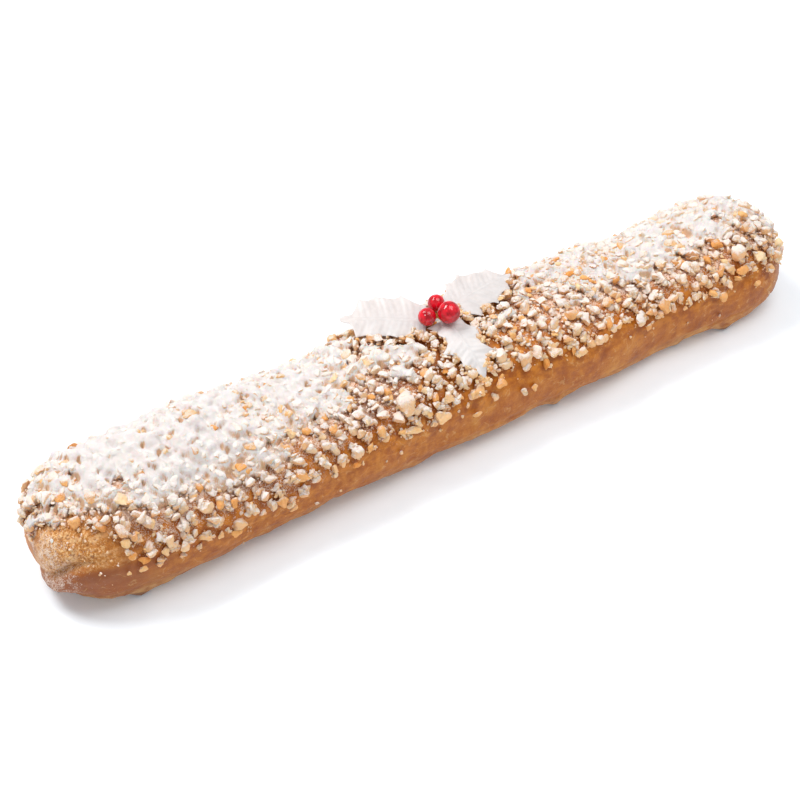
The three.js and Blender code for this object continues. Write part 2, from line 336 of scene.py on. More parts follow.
TIP_HEIGHT = 15.5
tips = np.array([[ring_x[0] - 0.35, 0, TIP_HEIGHT], [ring_x[-1] + 0.1, 0, TIP_HEIGHT]])
points = np.concatenate([roll_skin.reshape(-1, 3), tips])
crust = make_piece("pastry_roll", points, closed_tube(len(ring_x), RING_POINTS))

# Where the almonds stop on the front: place along the roll, and angle down from the top.
EDGE = np.array([
    (-160, 0.12), (-153, 0.24), (-147, 0.54), (-137, 0.92), (-134, 1.3), (-123, 1.5), (-107, 1.46),
    (-97, 1.44), (-90, 1.55), (-83, 1.42), (-73, 1.6), (-64, 1.28), (-57, 1.34), (-48, 1.25), (-36, 1.22),
    (-23, 1.27), (-10, 1.24), (-5, 1.1), (3, 1.08), (12, 1.12), (22, 0.95), (32, 0.96), (38, 1.08),
    (45, 1.0), (53, 1.12), (63, 1.1), (68, 1.0), (74, 0.97), (85, 1.1), (95, 1.03), (106, 1.08),
    (120, 1.24), (125, 1.12), (128, 0.98), (146, 1.22), (160, 1.16),
])
BACK_EDGE = 1.3


def almond_edge(x, on_front):
    """Angle down from the top at which the almonds stop, on the front and on the back."""
    return np.where(on_front, np.interp(x, *EDGE.T), BACK_EDGE)


# What differs over the crust: the egg glaze, the pale foot, the browned filling, the sugar on it, the
# grainy front of the left end and the darker ends, with painted shade round the right end, each with its
# value at the two tips.
from_top = np.abs(roll_turn - np.pi / 2)
from_top = np.minimum(from_top, 2 * np.pi - from_top)
below = from_top - almond_edge(roll_x, front)
spotty = np.clip(0.8 + 0.6 * lumps(roll * (1, 0.3, 0.3), 14, 8), 0, 1)
grainy = bell(roll_x + 152, 15) * facing * np.clip(above_fold / 3 + 1, 0, 1)
sugared_lip = bell(roll_x + 158, 8) * facing * np.clip(roll_z / 5, 0, 1)
sheltered = 1 - 0.9 * bell(roll_x - 12, 24)
dust = np.clip(1.0 - below * 4, 0, 1) * np.clip(0.35 - below * 1.2, 0.25, 1.2) * sheltered
dust = np.maximum(dust, np.maximum(0.3 * grainy, 0.9 * sugared_lip))
# Darker below the fold on the front of the left end, and painted shade round the right end.
darker_ends = bell(from_tip - 8, 32) * facing * np.clip(-above_fold / 4, 0, 1) + 0.9 * bell(roll_x - 160, 13)
for name, values, at_tips in (
    ("glaze", np.clip(1.05 - below / 0.42, 0, 1), 0),
    ("pale", bell(roll_z - 3.5, 4.0) * spotty, 0),
    ("leak", np.clip(leak, 0, 1), 0),
    ("dust", np.clip(dust, 0, 1.2), 0.1),
    ("grainy", grainy, 0),
    ("end", np.clip(darker_ends, 0, 1), 1),
):
    give(crust, name, np.append(values, (at_tips, at_tips)))

# Colours. The ramp runs from the darkest to the palest crust.
CRUST_TONES = (
    (0.28, (0.235, 0.048, 0.003)),
    (0.44, (0.365, 0.094, 0.006)),
    (0.58, (0.47, 0.145, 0.012)),
    (0.76, (0.59, 0.245, 0.04)),
)
DARK_AMBER, AMBER = (0.30, 0.072, 0.005), (0.62, 0.21, 0.014)
# The end colour darkens the front below the fold at the left end, and is painted shade round the right end.
END_BROWN_AND_SHADE = (0.25, 0.066, 0.017)
VEIN = (0.66, 0.39, 0.15)
PALE_FOOT = (0.67, 0.38, 0.14)
BROWNED_FILLING = (0.27, 0.11, 0.04)
RAW_GOLD, FLAKE = (0.66, 0.29, 0.06), (0.86, 0.62, 0.38)
# The second crumb colour is painted shade in the gaps between the crumbs of the left end.
CRUMB, CRUMB_GAP_SHADE = (0.90, 0.64, 0.32), (0.24, 0.08, 0.018)
DUSTED = (0.84, 0.70, 0.60)

material, shader, paint = finish_for("baked crust", Specular_IOR_Level=0.36)
mottle = paint.noise(11, 4)
patches = paint.noise(3.0, 4, 0.6, 0.3, (0.7, 1, 1))
streaks = paint.noise(2.6, 3, 0.6, 0.5, (1, 0.3, 0.3))
grain = paint.noise(0.7, 3, 0.6, 0.7)
crumbly = paint.noise(1.0, 3, 0.75, 0.33)
specks = paint.noise(0.5, 2, 0.7, 0.9)
drifted = paint.noise(2.8, 3, 0.6, 0.5)
grainy = paint.reads("grainy")
paleness = mottle * 0.62 + patches * 0.42 + streaks * 0.35 + grain * 0.3 - 0.31
darkened = (streaks * 0.5 + mottle * 0.5).step(0.36, 0.6) * 0.45 + 0.5
vein = 1 - ((paint.noise(8, 3, 0.5, 0.2) - 0.5).math("ABSOLUTE") / 0.018).math("MINIMUM", 1)
snow = (specks * 0.6 + drifted * 0.4 + paint.reads("dust") * 0.2 - 0.67).step(-0.03, 0.1)
amber = paint.blend(patches.step(0.35, 0.65), DARK_AMBER, AMBER)
colour = paint.blend(paint.reads("glaze") * 0.75, paleness.ramp(CRUST_TONES), amber)
for share, layer in (
    (paint.reads("end") * darkened, END_BROWN_AND_SHADE),
    (vein * patches.step(0.48, 0.6) * 0.5, VEIN),
    (paint.reads("pale") * 0.75 * patches.step(0.3, 0.62), PALE_FOOT),
    (paint.reads("leak").step(0.35, 0.8), BROWNED_FILLING),
    (grainy * 0.5, RAW_GOLD),
    (grainy * patches.step(0.5, 0.62) * 0.35, FLAKE),
    (grainy * crumbly.step(0.48, 0.38) * 0.7, CRUMB),
    # Painted shade in the gaps between the crumbs, which the bump also lowers.
    (grainy * crumbly.step(0.54, 0.62) * 0.85, CRUMB_GAP_SHADE),
    (snow * 0.75, DUSTED),
):
    colour = paint.blend(share, colour, layer)
rough = 0.34 + mottle * 0.25 + snow * 0.4
rise = grain * 0.5 + patches * 0.8 + streaks * 0.7 + snow * 0.6 + vein * 0.25 - crumbly * grainy * 2.5
bump = paint.node("Bump", Height=rise, Strength=0.45, Distance=0.0006)
connect(paint, shader, Base_Color=colour, Roughness=rough, Normal=bump)
crust.data.materials.append(material)
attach(crust, "root")
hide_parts("pastry_log")


# ---- The holly leaves ----
# Three stamped leaves of thin, milky white sheet with hollow scallops between their spines and ribs
# running out from the midrib. They lie loosely on the almonds across the middle of the log.

LEAF_THICKNESS = 0.5
SPINE_LEAN = 1.6
RIB_SPACING, RIB_HEIGHT = 2.3, 0.06
LEAF_SHADE, LEAF_WHITE = (0.57, 0.53, 0.52), (0.69, 0.645, 0.63)
# arch lifts a leaf's middle, curl its left and right side, and slant leans its ribs. heaped is how high
# almonds may stand round it. Each side, first the left one, has its foot, its spines and its tip as pairs
# of place along and reach, and the depth of the hollow between each two of them.
LEAVES = {
    "leaf_left": dict(
        base=(4.5, 6.9, 41.5), tip=(-22.6, 23.8, 42.0), arch=0.5, curl=(-1.6, 1.0), slant=0.08, heaped=3.3,
        sides=(
            ((0, 6.8), (0.3, 9.0), (0.54, 9.1), (0.77, 9.0), (1, 0.25)),
            ((0, 8.0), (0.26, 11.7), (0.55, 11.3), (0.755, 9.8), (1, 0.25)),
        ),
        hollows=((0.08, 0.14, 0.14, 0.5), (0.1, 0.12, 0.15, 0.62)),
    ),
    "leaf_back": dict(
        base=(14.2, 7.2, 42.1), tip=(45.2, 12.3, 41.2), arch=1.2, curl=(1.5, -2.0), slant=0.3, heaped=2.8,
        sides=(
            ((0, 4.6), (0.2, 10.2), (0.38, 10.7), (0.76, 7.0), (1, 0.25)),
            ((0, 4.6), (0.22, 10.1), (0.5, 9.2), (0.77, 7.2), (1, 0.25)),
        ),
        hollows=((0.2, 0.16, 0.16, 0.5), (0.1, 0.22, 0.24, 0.4)),
    ),
    "leaf_front": dict(
        base=(10.4, 2.9, 42.3), tip=(11.8, -22.1, 31.6), arch=2.8, curl=(-0.5, -0.5), slant=0.2, heaped=1.3,
        sides=(
            ((0, 5.2), (0.29, 9), (0.645, 8.8), (1, 0.25)),
            ((0, 8.2), (0.165, 6.7), (0.405, 10.6), (0.69, 5.9), (1, 0.25)),
        ),
        hollows=((0.26, 0.33, 0.38), (0.1, 0.33, 0.33, 0.33)),
    ),
}


def leaf_axes(leaf):
    """Base, length, and the directions along the leaf, to its left and up from it."""
    base, tip = np.array(leaf["base"]), np.array(leaf["tip"])
    length = np.linalg.norm(tip - base)
    along = (tip - base) / length
    side = unit(np.cross((0, 0, 1), along))
    return base, length, along, side, np.cross(along, side)


def leaf_reach(leaf, u, out):
    """Half-width of the side on which out lies, left where it is positive: straight lines from foot over
    the spines to the tip, each hollowed to an arc."""
    return np.where(out > 0, side_reach(leaf, u, 0), side_reach(leaf, u, 1))


def side_reach(leaf, u, side):
    """Half-width of one side: along each straight line, less a parabola as deep as its hollow."""
    place, reach = np.array(leaf["sides"][side]).T
    k = np.clip(np.searchsorted(place, u) - 1, 0, len(place) - 2)
    t = (u - place[k]) / (place[k + 1] - place[k])
    hollow = np.array(leaf["hollows"][side])[k]
    return (reach[k] + (reach[k + 1] - reach[k]) * t) * (1 - hollow * 4 * t * (1 - t))


def leaf_rise(leaf, u, out):
    """Height of the leaf's middle above the line from base to tip: an arched parabola, and another across
    it that curls each side."""
    curl = np.where(out > 0, *leaf["curl"])
    return leaf["arch"] * 4 * u * (1 - u) + curl * (out / 10) ** 2


def leaf_surface(leaf, u, v):
    """Middle surface: u runs from base to tip and v from the right side, -1, to the left, 1. Ribs, a
    raised midrib and a wave are added to the rise, and the spines lean towards the tip."""
    base, length, along, side, up = leaf_axes(leaf)
    out = v * leaf_reach(leaf, u, v)
    lean = SPINE_LEAN * v**2 * np.sin(np.pi * u)
    ribs = RIB_HEIGHT * np.cos(2 * np.pi * (u * length - leaf["slant"] * np.abs(out)) / RIB_SPACING)
    ribs = ribs + 0.1 * lumps(np.stack([u * length, out * 0.25, 0 * u], -1), 3.5, 15)
    ribs = ribs * np.clip(np.abs(out) / 1.5, 0, 1)
    midrib = 0.2 * bell(out, 0.5) - 0.12 * bell(out, 1.6)
    wave = 0.35 * np.sin(8 * np.pi * u) * v
    rise = leaf_rise(leaf, u, out) + ribs + midrib + wave
    place = base + (length * u + lean)[..., None] * along
    return place + out[..., None] * side + rise[..., None] * up


def cell_faces(first_corner, across):
    """Faces of a grid's cells, from the number of each one's first corner and of the points in a row."""
    return first_corner[:, None] + (0, across, across + 1, 1)


LEAF_STEPS, LEAF_ACROSS = 130, 71
leaf_u, leaf_v = np.meshgrid(np.linspace(0, 1, LEAF_STEPS), np.linspace(-1, 1, LEAF_ACROSS), indexing="ij")
number = np.arange(LEAF_STEPS * LEAF_ACROSS).reshape(LEAF_STEPS, LEAF_ACROSS)
leaf_under = cell_faces(number[:-1, :-1].ravel(), LEAF_ACROSS)[:, ::-1]
leaf_top = leaf_under[:, ::-1] + number.size
rim = np.concatenate([number[:-1, 0], number[-1, :-1], number[:0:-1, -1], number[0, :0:-1]])
rim_next = np.roll(rim, -1)
leaf_wall = np.stack([rim, rim_next, rim_next + number.size, rim + number.size], -1)

material, shader, paint = finish_for(
    "milky leaf sheet",
    Roughness=0.42,
    Subsurface_Weight=0.35,
    Subsurface_Scale=0.002,
    Subsurface_Radius=(1.0, 0.8, 0.7),
)
cloud = paint.noise(2.4, 3)
# The leaves' colour runs between two whites at random, and towards the whiter one as painted light where a
# leaf is given more.
colour = paint.blend(cloud.step(0.3, 0.7) * 0.4 + paint.reads("whiter"), LEAF_SHADE, LEAF_WHITE)
bump = paint.node("Bump", Height=paint.noise(0.5, 2), Strength=0.12, Distance=0.0003)
connect(paint, shader, Base_Color=colour, Normal=bump)

for name, leaf in LEAVES.items():
    middle_sheet = leaf_surface(leaf, leaf_u, leaf_v)
    up = leaf_axes(leaf)[4]
    thin = LEAF_THICKNESS / 2 * np.clip((1.02 - np.abs(leaf_v)) * 8, 0.3, 1)[..., None]
    sheet = np.stack([middle_sheet - up * thin, middle_sheet + up * thin]).reshape(-1, 3)
    piece = make_piece("holly_" + name, sheet, [leaf_under, leaf_top, leaf_wall])
    # The front leaf is painted whiter than the others: painted light that makes up for the light its tilt
    # takes away.
    give(piece, "whiter", np.full(len(sheet), 0.7 if name == "leaf_front" else 0.0))
    piece.data.materials.append(material)
    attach(piece, "root")
    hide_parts(name)


# ---- The berries ----
# Three glossy red berries, nearly round, each with a small dimple where its flower was. They rest on the
# feet of the leaves.

# Centre, radius and the direction of the dimple.
BERRIES = {
    "berry_left": ((3.3, 4.3, 46.0), 3.42, (-0.5, -0.3, 0.8)),
    "berry_right": ((10.7, 1.1, 47.1), 4.25, (0.3, -0.7, 0.65)),
    "berry_back": ((10.1, 8.9, 46.1), 3.25, (0.1, 0.5, 0.85)),
}
DARK_RED, BRIGHT_RED = (0.30, 0.001, 0.006), (0.76, 0.006, 0.022)
BERRY_RINGS, BERRY_AROUND = 46, 72
polar, spin = np.meshgrid(
    np.linspace(0, np.pi, BERRY_RINGS + 2)[1:-1],
    np.arange(BERRY_AROUND) / BERRY_AROUND * 2 * np.pi,
    indexing="ij",
)
rings = np.stack([np.sin(polar) * np.cos(spin), np.sin(polar) * np.sin(spin), -np.cos(polar)], -1)
ball = np.concatenate([rings.reshape(-1, 3), [(0, 0, -1), (0, 0, 1)]])

material, shader, paint = finish_for(
    "red berry skin",
    Roughness=0.12,
    Specular_IOR_Level=0.42,
    Subsurface_Weight=0.06,
    Subsurface_Scale=0.002,
    Subsurface_Radius=(1.0, 0.15, 0.1),
    Coat_Roughness=0.03,
)
flush = paint.noise(2.6, 2)
colour = paint.blend(flush.step(0.3, 0.7), DARK_RED, BRIGHT_RED)
coat = flush * 0.4 + 0.05
bump = paint.node("Bump", Height=paint.noise(1.2, 2), Strength=0.25, Distance=0.0004)
connect(paint, shader, Base_Color=colour, Coat_Weight=coat, Normal=bump)

for number, (name, (centre, radius, blossom)) in enumerate(BERRIES.items()):
    dimple = bell(np.arccos(np.clip(ball @ unit(np.array(blossom)), -1, 1)), 0.16)
    size = radius * (0.99 + 0.012 * lumps(ball, 0.9, 40 + number) - 0.05 * dimple)
    skin = ball * size[:, None] + centre
    piece = make_piece(name + "_skin", skin, closed_tube(BERRY_RINGS, BERRY_AROUND))
    piece.data.materials.append(material)
    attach(piece, "root")
    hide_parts(name)


# ---- The chopped almonds ----
# Blanched almonds, chopped and roasted with the log: blunt bits from crumbs to pieces 6 mm long, stuck to
# the egg wash in an uneven layer with a ragged lower edge, and dusted with icing sugar.

draw = np.random.default_rng(11)
CHIP_SHAPES, CHIP_CUTS = 20, 9
CHIP_SHARP = math.radians(50)
CLUMP_COUNT, CLUMP_REACH = 590, 4.7
SKIN_RADIUS = 26  # turns a length round the skin into an angle


def chip_shapes(corners, seed):
    """Blunt chips, each just filling a box from -1 to 1. Along directions spread evenly on a sphere the
    surface lies at a soft minimum of flat cuts tilted at random, roughened a little."""
    pick = np.random.default_rng(seed)
    k = np.arange(corners) + 0.5
    polar, spin = np.arccos(1 - 2 * k / corners), np.pi * (1 + 5**0.5) * k
    ball = np.stack([np.cos(spin) * np.sin(polar), np.sin(spin) * np.sin(polar), np.cos(polar)], -1)
    work = bmesh.new()
    for spot in ball:
        work.verts.new(spot)
    bmesh.ops.convex_hull(work, input=work.verts)
    bmesh.ops.recalc_face_normals(work, faces=work.faces)
    work.verts.index_update()
    faces = np.array([[v.index for v in f.verts] for f in work.faces])
    work.free()
    shapes = []
    for number in range(CHIP_SHAPES):
        cuts = unit(pick.normal(size=(CHIP_CUTS, 3)))
        towards = np.maximum(ball @ cuts.T, 0.05) / pick.uniform(0.45, 1.0, CHIP_CUTS)
        distance = np.minimum((towards**12).sum(1) ** (-1 / 12), 1.25)
        rough = 0.22 * lumps(ball + 3 * number, 0.6, seed) + 0.16 * lumps(ball + 3 * number, 0.3, seed)
        shape = ball * (distance * (1 + rough))[:, None]
        shapes.append(shape / np.abs(shape).max(0))
    return np.array(shapes), faces


def even_pairs(order):
    """Places along the roll, and numbers from 0 to 1, that together fill a rectangle evenly: multiples of
    two irrational steps, without their whole parts."""
    return LEFT_TIP + (order * 0.7548776662 % 1) * (RIGHT_TIP - LEFT_TIP), order * 0.5698402910 % 1


# The almonds stick together in clumps. Their middles follow the same even spread as the almonds.
clump_x, clump_turn = even_pairs(np.arange(CLUMP_COUNT))
clump_x = clump_x + draw.normal(0, 0.8, CLUMP_COUNT)
clump_turn = (clump_turn - 0.5) * 3.6 + np.pi / 2 + draw.normal(0, 0.03, CLUMP_COUNT)


def drawn_together(x, turn):
    """Moves spots towards the nearest clump's middle: an eighth of the way at the top, and up to two
    fifths in the lower rows. Also gives how near they lay to it, up to 1 at the middle."""
    away = np.stack([x[:, None] - clump_x, (turn[:, None] - clump_turn) * ROLL_HALF_WIDTH])
    distance = np.hypot(*away)
    pull = 0.12 + 0.28 * np.clip(np.abs(turn - np.pi / 2) / 1.1 - 0.3, 0, 1)
    shift = pull * away[:, np.arange(len(x)), distance.argmin(1)]
    near = np.clip(1 - distance.min(1) / CLUMP_REACH, 0, 1)
    return x - shift[0], turn - shift[1] / ROLL_HALF_WIDTH, near


def even_spots(count, inset, strays, seed):
    """Places and turns spread evenly over the covered skin: a two-number sequence with a small nudge,
    thinned where the skin narrows, with a ragged edge, a few strays below it, and more on the left end.
    They are then drawn together in clumps, with crust showing between those of the lower rows."""
    pick = np.random.default_rng(seed)
    x, turn = even_pairs(np.arange(count * 3) + pick.integers(1000))
    x = np.clip(x + pick.normal(0, 0.5, count * 3), LEFT_TIP + 0.6, RIGHT_TIP - 0.6)
    turn = (turn - 0.5) * 4.0 + np.pi / 2
    skin = roll_point(x, turn)
    beside, inward = roll_point(x, turn + 0.02) - skin, roll_point(x - np.sign(x) * 0.2, turn) - skin
    area = np.linalg.norm(np.cross(beside, inward), axis=-1)
    ragged = almond_edge(x, turn > np.pi / 2) - inset + 0.05 * lumps(skin * (1, 0.4, 0.4), 7, 21)
    past = np.abs(turn - np.pi / 2) - ragged - 0.07 * lumps(skin, 3, 22)
    keep = np.where(past < -0.1, 1, np.clip(0.5 - past * 6, 0, 1))
    keep = np.maximum(keep, 0.02 * (past < 0.45) * (inset < 0.03))
    keep = np.maximum(keep, strays * bell(x + 151, 10) * (past < 0.9))
    keep *= np.clip(area / np.median(area), 0, 1)
    chosen = np.flatnonzero(pick.uniform(size=x.shape) < keep)[:count]
    x, turn, near = drawn_together(x[chosen], turn[chosen])
    gaps = np.clip(1 + past[chosen] / 0.7, 0, 1) * np.clip(1.5 - near * 4, 0, 1)
    gaps = gaps * np.interp(x, (-60, 20), (0.8, 0.3))
    stays = pick.uniform(size=x.shape) > gaps
    return x[stays], turn[stays], near[stays]


# How much sugar fell along the top of the roll: place and amount.
SUGAR_FELL = np.array([
    (-160, 0.62), (-150, 0.66), (-138, 0.9), (-118, 1.05), (-60, 0.97), (-30, 0.9), (0, 0.86),
    (30, 0.82), (60, 0.78), (90, 0.78), (115, 0.82), (130, 0.82), (145, 0.86), (160, 0.82),
])
CAUGHT_AT, CAUGHT_SPREAD = (9, 6), 5


def outside_leaf(leaf, spots):
    """How far spots lie outside a leaf's outline, past its sides or its ends and below 0 inside, and their
    height above its middle."""
    base, length, along, side, up = leaf_axes(leaf)
    away = spots - base
    u, out = away @ along / length, away @ side
    inside = np.clip(u, 0, 1)
    beyond = np.abs(out) - leaf_reach(leaf, inside, out)
    beyond = np.where(u == inside, beyond, np.maximum(beyond, np.abs(u - inside) * length))
    return beyond, away @ up - leaf_rise(leaf, inside, out)


def sugar_cover(place, reach):
    """How thickly sugar fell, from 0 to 1: a blanket along the left half of the top, less at the left tip
    and round the leaves, a heap caught under the berries, and lighter patches to the right. It thins out
    over the reach down the front."""
    blanket = np.interp(place[..., 0], *SUGAR_FELL.T)
    blanket = blanket * np.clip(1.06 - ((place[..., 1] - 8) / reach) ** 2, 0, 1)
    uneven = 0.15 * lumps(place * (1, 1, 0.3), 13, 31) + 0.14 * lumps(place, 5, 32)
    for leaf in LEAVES.values():
        blanket = blanket - 0.4 * np.clip(1.2 - outside_leaf(leaf, place)[0] / 3, 0, 1)
    caught = 0.9 * bell(np.hypot(place[..., 0] - CAUGHT_AT[0], place[..., 1] - CAUGHT_AT[1]), CAUGHT_SPREAD)
    return np.clip(blanket + uneven + caught, 0, 1)


def around_leaves(spots, radius):
    """Heaps the spots round the leaves and just under their edges up against them, and moves down those
    that reach through a leaf. Also says which of them still touch a leaf or a berry."""
    blocked = np.zeros(len(spots), bool)
    for leaf in LEAVES.values():
        outside, height = outside_leaf(leaf, spots)
        gap = height + radius + 0.45
        heap = 3.0 * np.clip(1.5 - outside / 5, 0, 1)
        sink = np.where(outside < 0.2 * radius, np.clip(gap, 0, None), 0)
        blocked |= sink > 2.8
        room = np.where(outside > 0, leaf["heaped"], -0.8) - gap
        move = np.minimum(heap, np.clip(room, 0, None)) * (outside > -4) - sink
        spots = spots + move[:, None] * leaf_axes(leaf)[4]
    for centre, size, _ in BERRIES.values():
        blocked |= np.linalg.norm(spots - centre, axis=1) < size + radius * 0.7
        blocked |= np.linalg.norm(spots[:, :2] - centre[:2], axis=1) < size + 0.6
    return spots, blocked


# Pieces that stand out: place, angle down the front, half width and half height as seen from the front,
# how golden, and how sugared.
NOTABLE = np.array([
    (-135.0, 0.79, 2.6, 2.6, 0.75, 0.8), (-138.2, 0.6, 2.2, 2.1, 0.6, 0.9),
    (-146.9, 0.44, 2.2, 2.4, 0.7, 0.35), (-155.0, 0.09, 2.4, 0.7, 0.3, 0.7),
    (-133.6, 1.18, 2.1, 1.7, 0.85, 0.1), (-130.1, 1.33, 2.8, 1.5, 0.95, 0.1),
    (-131.6, 1.46, 1.9, 1.5, 0.5, 0.3), (-136.5, 1.45, 0.9, 1.1, 0.5, 0.2),
    (-123.0, 1.32, 1.9, 2.1, 0.4, 0.5), (-120.2, 1.18, 2.2, 2.6, 0.3, 0.8),
    (-115.6, 1.35, 2.2, 2.4, 0.3, 0.7), (-114.1, 1.06, 1.9, 3.0, 0.3, 0.85),
    (-107.7, 1.39, 2.6, 1.7, 0.5, 0.5), (-102.0, 1.46, 1.1, 1.7, 0.6, 0.5),
    (-94.6, 1.44, 3.0, 2.4, 0.5, 0.75), (-96.3, 1.54, 2.2, 1.5, 0.8, 0.2),
    (-93.9, 1.06, 1.9, 2.4, 0.85, 0.2), (-99.5, 1.02, 1.5, 2.6, 0.8, 0.3),
    (-77.1, 1.37, 2.6, 2.6, 0.8, 0.35), (-72.4, 1.57, 1.5, 2.2, 0.6, 0.4),
    (-67.5, 1.14, 3.0, 2.2, 0.75, 0.35), (-54.9, 1.21, 1.7, 1.9, 0.35, 0.6),
    (-45.3, 1.11, 2.6, 2.4, 0.3, 0.95), (-39.8, 1.14, 1.7, 2.2, 0.7, 0.2),
    (-46.2, 1.32, 1.9, 1.3, 0.95, 0.1), (-33.7, 0.98, 2.2, 2.6, 0.6, 0.3), (-50.4, 0.47, 1.7, 2.1, 0.8, 0.2),
    (-58.8, 0.56, 2.4, 1.5, 0.8, 0.2), (-20.8, 0.75, 3.7, 5.0, 0.4, 0.8), (-21.6, 1.14, 4.5, 1.7, 0.35, 0.4),
    (-9.0, 1.14, 3.2, 2.6, 0.35, 0.5), (-8.8, 0.84, 1.5, 2.1, 0.8, 0.2), (-4.6, 0.91, 2.2, 2.2, 0.35, 0.6),
    (5.1, 1.03, 1.5, 1.7, 0.4, 0.4), (8.5, 1.0, 2.4, 3.0, 0.6, 0.4), (17.6, 1.04, 2.4, 2.4, 0.75, 0.3),
    (13.9, 1.23, 1.9, 1.7, 0.3, 0.8), (5.5, 1.37, 2.1, 1.1, 0.6, 0.4), (-27.5, 1.46, 0.9, 0.9, 0.2, 0.8),
    (-0.9, 1.3, 0.7, 0.7, 0.4, 0.5), (26.5, 1.37, 1.3, 1.3, 0.2, 0.8), (71.9, 0.51, 2.6, 2.8, 0.75, 0.3),
    (54.9, 0.49, 3.2, 2.2, 0.75, 0.5), (59.3, 0.62, 2.2, 3.0, 0.5, 0.85), (48.5, 0.25, 2.4, 1.9, 0.8, 0.3),
    (68.2, -0.6, 2.4, 1.5, 0.95, 0.1), (83.7, -0.13, 2.2, 1.9, 0.9, 0.15), (87.7, 0.08, 3.4, 2.6, 0.35, 0.6),
    (70.7, 0.04, 2.6, 1.5, 0.8, 0.3), (67.0, -0.13, 2.6, 1.5, 0.95, 0.1), (46.7, -0.1, 2.6, 1.7, 0.9, 0.15),
    (126.4, 0.37, 2.6, 2.4, 0.9, 0.15), (132.1, 0.65, 3.7, 3.5, 0.6, 0.8), (130.8, 0.92, 2.8, 2.1, 0.8, 0.3),
    (122.2, 0.77, 1.9, 2.8, 0.8, 0.3), (119.0, 0.53, 2.1, 2.2, 0.85, 0.2), (119.5, 1.23, 1.9, 2.1, 0.7, 0.3),
    (93.1, 0.93, 3.0, 3.2, 0.75, 0.4), (98.3, 0.89, 2.2, 1.9, 0.6, 0.5), (87.4, 0.93, 2.2, 1.7, 0.75, 0.4),
    (105.0, 1.04, 1.3, 1.9, 0.3, 0.9), (102.7, 1.13, 1.1, 1.1, 0.5, 0.4), (81.0, 1.0, 2.4, 2.6, 0.2, 0.95),
    (84.2, 1.18, 1.7, 1.7, 0.75, 0.3), (68.0, 0.86, 1.7, 2.8, 0.8, 0.2), (72.1, 0.94, 1.7, 1.7, 0.45, 0.4),
    (67.0, 1.06, 1.1, 0.9, 0.4, 0.5), (61.0, 1.03, 2.2, 2.1, 0.25, 0.9), (53.2, 1.08, 2.2, 2.2, 0.4, 0.5),
    (41.8, 0.92, 2.4, 2.1, 0.4, 0.6), (37.9, 1.05, 1.5, 2.2, 0.95, 0.1), (30.0, 0.84, 3.4, 3.7, 0.5, 0.7),
    (48.7, 0.83, 2.6, 1.9, 0.6, 0.5), (30.7, 1.35, 1.5, 1.7, 0.6, 0.4), (26.3, 1.34, 1.3, 1.3, 0.3, 0.7),
    (49.9, 1.02, 1.1, 2.1, 0.8, 0.2), (143.2, 1.12, 2.2, 1.9, 0.6, 0.4), (135.8, 1.25, 1.7, 1.5, 0.6, 0.3),
    (-138.7, 0.26, 2.4, 2.4, 0.7, 0.4), (-146.4, 0.02, 2.2, 1.7, 0.8, 0.3),
    (-103.7, 0.68, 1.5, 1.7, 0.85, 0.2), (-84.2, 0.73, 1.9, 1.5, 0.8, 0.3),
    (-87.4, 0.02, 1.9, 1.5, 0.95, 0.1), (-73.6, -0.07, 1.7, 1.3, 0.9, 0.2),
    (-86.9, 0.64, 2.1, 1.7, 0.85, 0.2), (-68.4, 0.65, 1.5, 1.3, 0.8, 0.3),
    (-62.3, -0.38, 1.7, 1.5, 0.9, 0.2), (-38.4, 0.35, 1.9, 1.7, 0.8, 0.2),
    (-31.0, 0.45, 1.7, 1.5, 0.85, 0.2), (-24.8, 0.49, 1.7, 1.7, 0.8, 0.3),
])

NOTABLE_ROOM = 5.5

# Each kind: how many, half of the longest side (from, to), corners of a chip, how high it may be stacked
# (from, to), and the share that strays over the left end.
ALMONDS = {
    "almond_chunks": (900, 2.1, 3.1, 90, (0.7, 2.0), 0),
    "almond_pieces": (1600, 1.5, 2.2, 60, (0.3, 1.6), 0),
    "almond_nibs": (2500, 1.0, 1.6, 32, (0.0, 1.2), 0),
    "almond_bits": (4700, 0.6, 1.0, 20, (0.0, 0.9), 0.06),
    "almond_crumbs": (7000, 0.3, 0.6, 12, (0.0, 0.6), 0.45),
}

# The picture's right and its upward direction, as seen from the front with the log's axis swung away.
SWING = math.radians(31.86)
ACROSS = np.array((math.cos(SWING), -math.sin(SWING), 0))
UPWARD = np.array((0.367, 0.59, 0.719))

ALMOND_TONES = (
    (0.15, (0.95, 0.71, 0.44)),
    (0.4, (0.94, 0.58, 0.26)),
    (0.65, (0.90, 0.44, 0.13)),
    (0.92, (0.74, 0.28, 0.05)),
)
# The third colour is painted shade: it darkens the undersides of the chips and the chips that lie sunk low
# in the layer.
BLUSH, POWDER, PAINTED_SHADE_BROWN = (0.88, 0.57, 0.38), (0.99, 0.89, 0.835), (0.62, 0.25, 0.085)
# The powder lies on faces turned to this direction, which leans a little to the back and the left: sugar
# lies thicker on those sides, and they are painted lighter there as painted light from that side.
SUGAR_FALL_AND_LIGHT = (-0.1, 0.25, 0.96)

